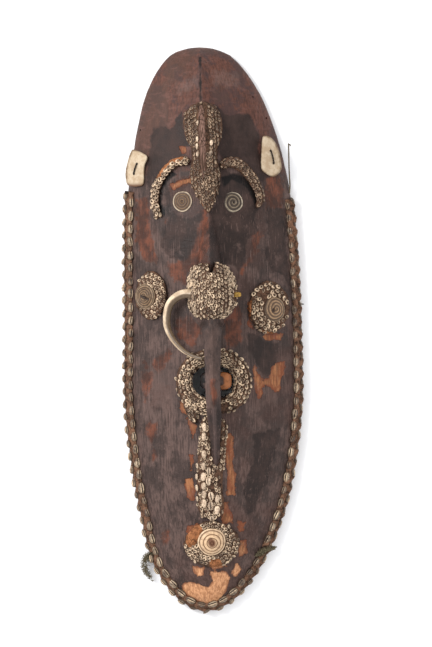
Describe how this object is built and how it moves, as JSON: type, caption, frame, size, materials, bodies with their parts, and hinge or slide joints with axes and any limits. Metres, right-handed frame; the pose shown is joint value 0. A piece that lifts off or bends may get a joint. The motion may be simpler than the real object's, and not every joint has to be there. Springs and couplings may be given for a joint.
{
  "type": "tribal mask",
  "caption": "Tall carved wooden spirit mask with a long nose bar, clay relief set with shells and a boar tusk, lying on its hollow back.",
  "frame": {"origin": "middle of the mask's outline, on the plane that the back rim rests on", "axes": "+X towards the right of the picture, +Y from chin to crown, +Z out of the face"},
  "size_m": [0.2734, 0.8488, 0.1434],
  "materials": {
    "wood": "worn dark paint over wood",
    "clay": "rough dark paste",
    "cream_shell": "worn shell",
    "grey_shell": "worn shell",
    "brown_shell": "worn shell",
    "tan_shell": "worn shell",
    "pale_shell": "worn shell",
    "ivory": "polished tusk",
    "plaque_shell": "smooth shell",
    "peg": "matte",
    "thread": "matte",
    "fibre": "matte"
  },
  "bodies": {
    "root": {"mask_wood": "wood", "forehead_crest": "clay", "brow_left": "clay", "brow_right": "clay", "nose_pad": "clay", "mouth_ring": "clay", "beard_strip": "clay", "cheek_pad_left": "clay", "cheek_pad_right": "clay", "chin_pad": "clay", "border_band": "clay", "eye_disc_left": "cream_shell", "eye_disc_right": "grey_shell", "cheek_disc_left": "brown_shell", "cheek_disc_right": "tan_shell", "chin_disc": "pale_shell", "boar_tusk": "ivory", "nose_peg": "peg", "ear_plaque_left": "plaque_shell", "ear_plaque_right": "plaque_shell", "ear_thread_left": "thread", "ear_thread_right": "thread", "rim_stem": "fibre", "tuft_left": "fibre", "tuft_right": "fibre"}
  },
  "joints": []
}
